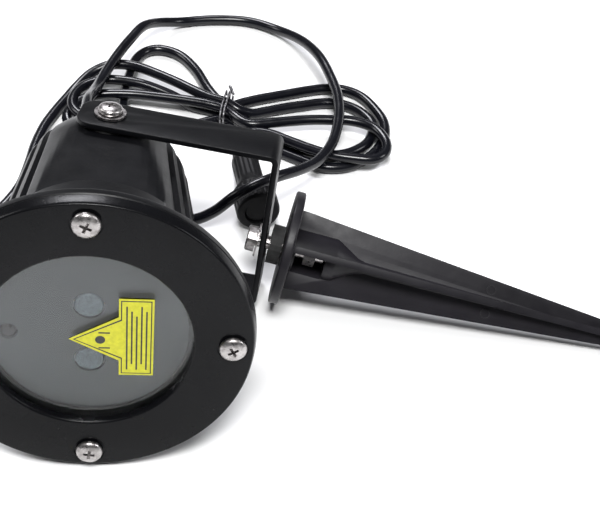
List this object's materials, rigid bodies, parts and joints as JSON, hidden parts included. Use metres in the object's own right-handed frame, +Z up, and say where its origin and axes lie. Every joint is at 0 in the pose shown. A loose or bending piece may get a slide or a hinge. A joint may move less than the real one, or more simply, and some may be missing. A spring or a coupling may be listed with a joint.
{
  "type": "light projector stake",
  "caption": "Round garden light projector with a ribbed metal housing, tilting in a U bracket on a tapered ground stake, with a bundled supply lead.",
  "frame": {"origin": "on the table, midway under the lamp and stake as they lie (cord left out)", "axes": "+X along the lying lamp, from the head to the stake's tip; +Y from the window towards the cord; +Z up"},
  "size_m": [0.2758, 0.2574, 0.0993],
  "materials": {
    "coated_alloy": "die-cast, satin black powder coat",
    "coated_metal": "satin black powder coat",
    "steel": "bright zinc plate, slightly dulled",
    "brass": "turned",
    "alloy": "machined",
    "stake_plastic": "moulded black, faint sheen",
    "hard_plastic": "moulded black",
    "cable_rubber": "smooth black jacket, slight gloss",
    "seal_rubber": "matt",
    "smoked_plastic": "smoked blue-grey",
    "frosted": "frosted grey-blue",
    "glass": "clear",
    "label_film": "printed film, yellow with a dark border",
    "circuit": "solder mask"
  },
  "bodies": {
    "head": {"rear_housing": "coated_alloy", "front_bezel": "coated_alloy", "bezel_screw_1": "steel", "bezel_screw_2": "steel", "bezel_screw_3": "steel", "bezel_screw_4": "steel", "front_glass": "glass", "window_gasket": "seal_rubber", "aperture_mask": "smoked_plastic", "grating_window_1": "frosted", "grating_window_2": "frosted", "remote_receiver": "hard_plastic", "plain_label": "label_film", "module_block": "alloy", "laser_module_1": "brass", "laser_module_2": "brass", "board_post_1": "alloy", "board_post_2": "alloy", "board_post_3": "alloy", "driver_board": "circuit", "gland_body": "hard_plastic", "gland_nut": "hard_plastic", "gland_lock_nut": "hard_plastic", "gland_seal": "seal_rubber", "upper_friction_washer": "seal_rubber", "upper_flat_washer": "steel", "upper_pivot_screw": "steel", "lower_friction_washer": "seal_rubber", "lower_flat_washer": "steel", "lower_pivot_screw": "steel", "cord_lead": "cable_rubber", "cord_hank": "cable_rubber", "cord_tie": "steel", "plug_boot": "cable_rubber", "plug_barrel": "hard_plastic"},
    "bracket": {"u_bracket": "coated_metal", "swivel_cushion": "seal_rubber"},
    "stake": {"ground_stake": "stake_plastic", "stake_nut": "steel", "swivel_bolt": "steel", "bolt_washer": "steel"},
    "connector_ring": {"plug_ring": "hard_plastic"}
  },
  "joints": [
    {"name": "bracket_tilt", "type": "hinge", "parent": "head", "child": "bracket", "pos_m": [-0.0932, 0.02944, 0.0346], "axis": [0.0382, 0.199, 0.9793], "range_deg": [-30, 12]},
    {"name": "stake_swivel", "type": "hinge", "parent": "bracket", "child": "stake", "pos_m": [-0.03458, 0.02902, 0.02403], "axis": [0.9906, 0.0014, -0.1368], "continuous": true},
    {"name": "connector_ring_turn", "type": "hinge", "parent": "head", "child": "connector_ring", "pos_m": [-0.04406, 0.06386, 0.00894], "axis": [0.3431, -0.9362, 0.0763], "continuous": true}
  ]
}
